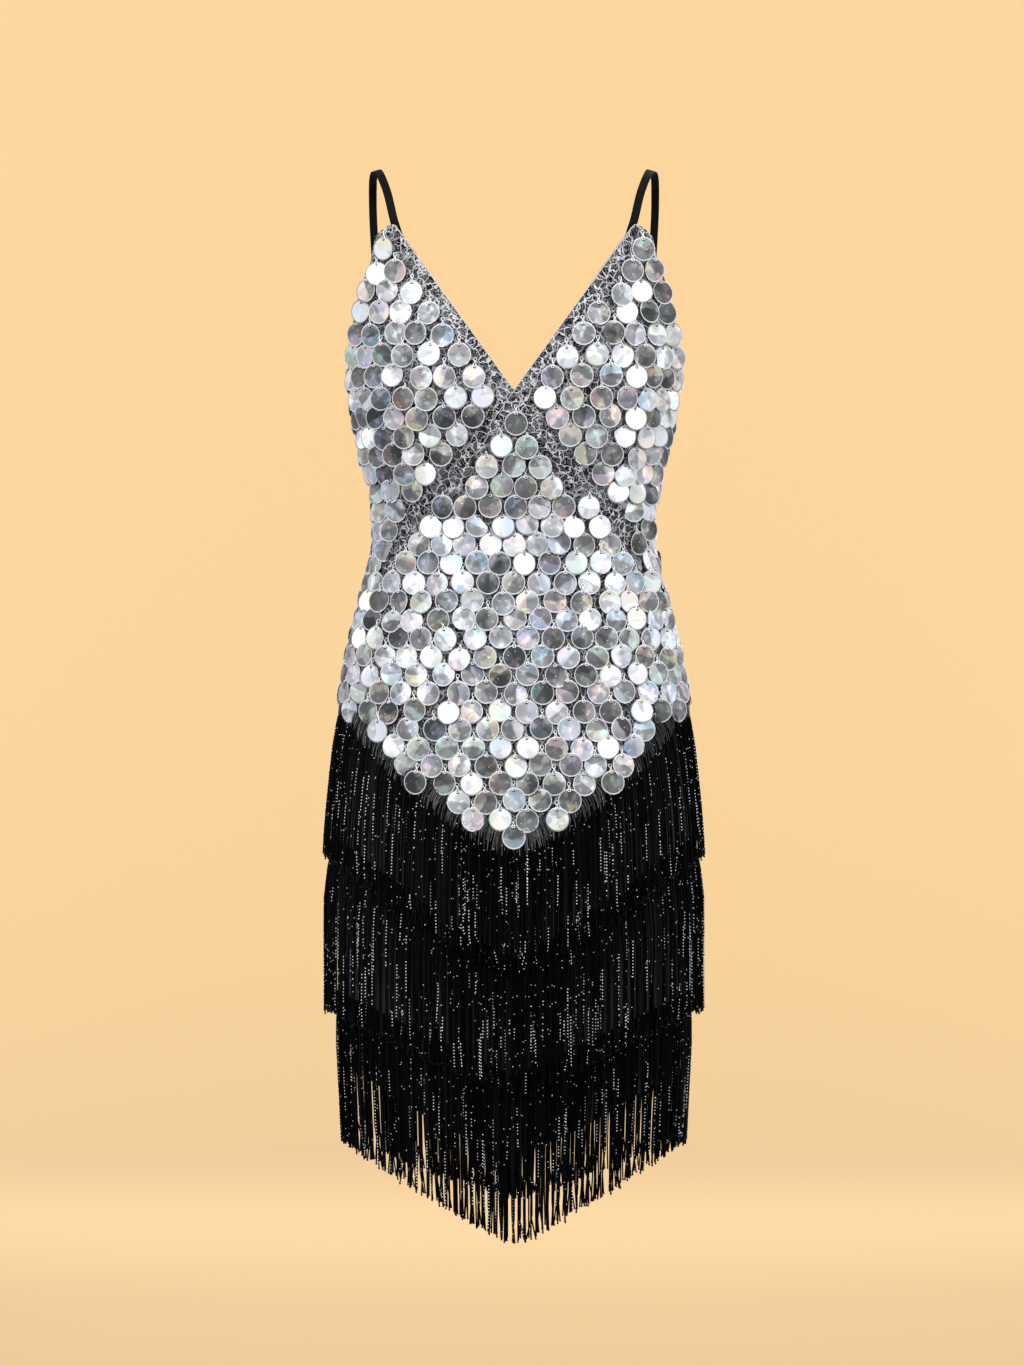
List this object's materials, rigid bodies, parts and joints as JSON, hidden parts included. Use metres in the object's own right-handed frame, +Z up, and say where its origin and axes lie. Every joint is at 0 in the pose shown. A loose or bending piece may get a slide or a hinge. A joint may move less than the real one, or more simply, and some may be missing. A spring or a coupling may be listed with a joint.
{
  "type": "fringe showgirl dress",
  "caption": "Sleeveless V-neck mini dress held by ribbon straps, with a disc-covered silver bodice, a pointed hem and tiers of black beaded fringe over a knit skirt.",
  "frame": {"origin": "midway between the tops of the two shoulder straps, where the wearer's shoulders hold the dress", "axes": "+Z up, the front faces -Y, +X points to the wearer's left"},
  "size_m": [0.3354, 0.2483, 0.9415],
  "materials": {
    "silver_cloth": "charcoal knit with a silver metallic thread pattern, under large mirror discs",
    "silver_discs": "mirror-bright silver plastic discs with a faint rainbow sheen",
    "black_knit": "matte black knit",
    "black_satin": "black satin ribbon",
    "black_beads": "glossy black beads strung on thread"
  },
  "bodies": {
    "root": {"cup_left": "silver_cloth", "cup_right": "silver_cloth", "neck_band_left": "silver_cloth", "neck_band_right": "silver_cloth", "front_body": "silver_cloth", "back_body": "silver_cloth", "skirt_front": "black_knit", "skirt_back": "black_knit", "strap_left": "black_satin", "strap_right": "black_satin", "fringe_upper": "black_beads", "fringe_middle": "black_beads", "fringe_lower": "black_beads"}
  },
  "joints": []
}
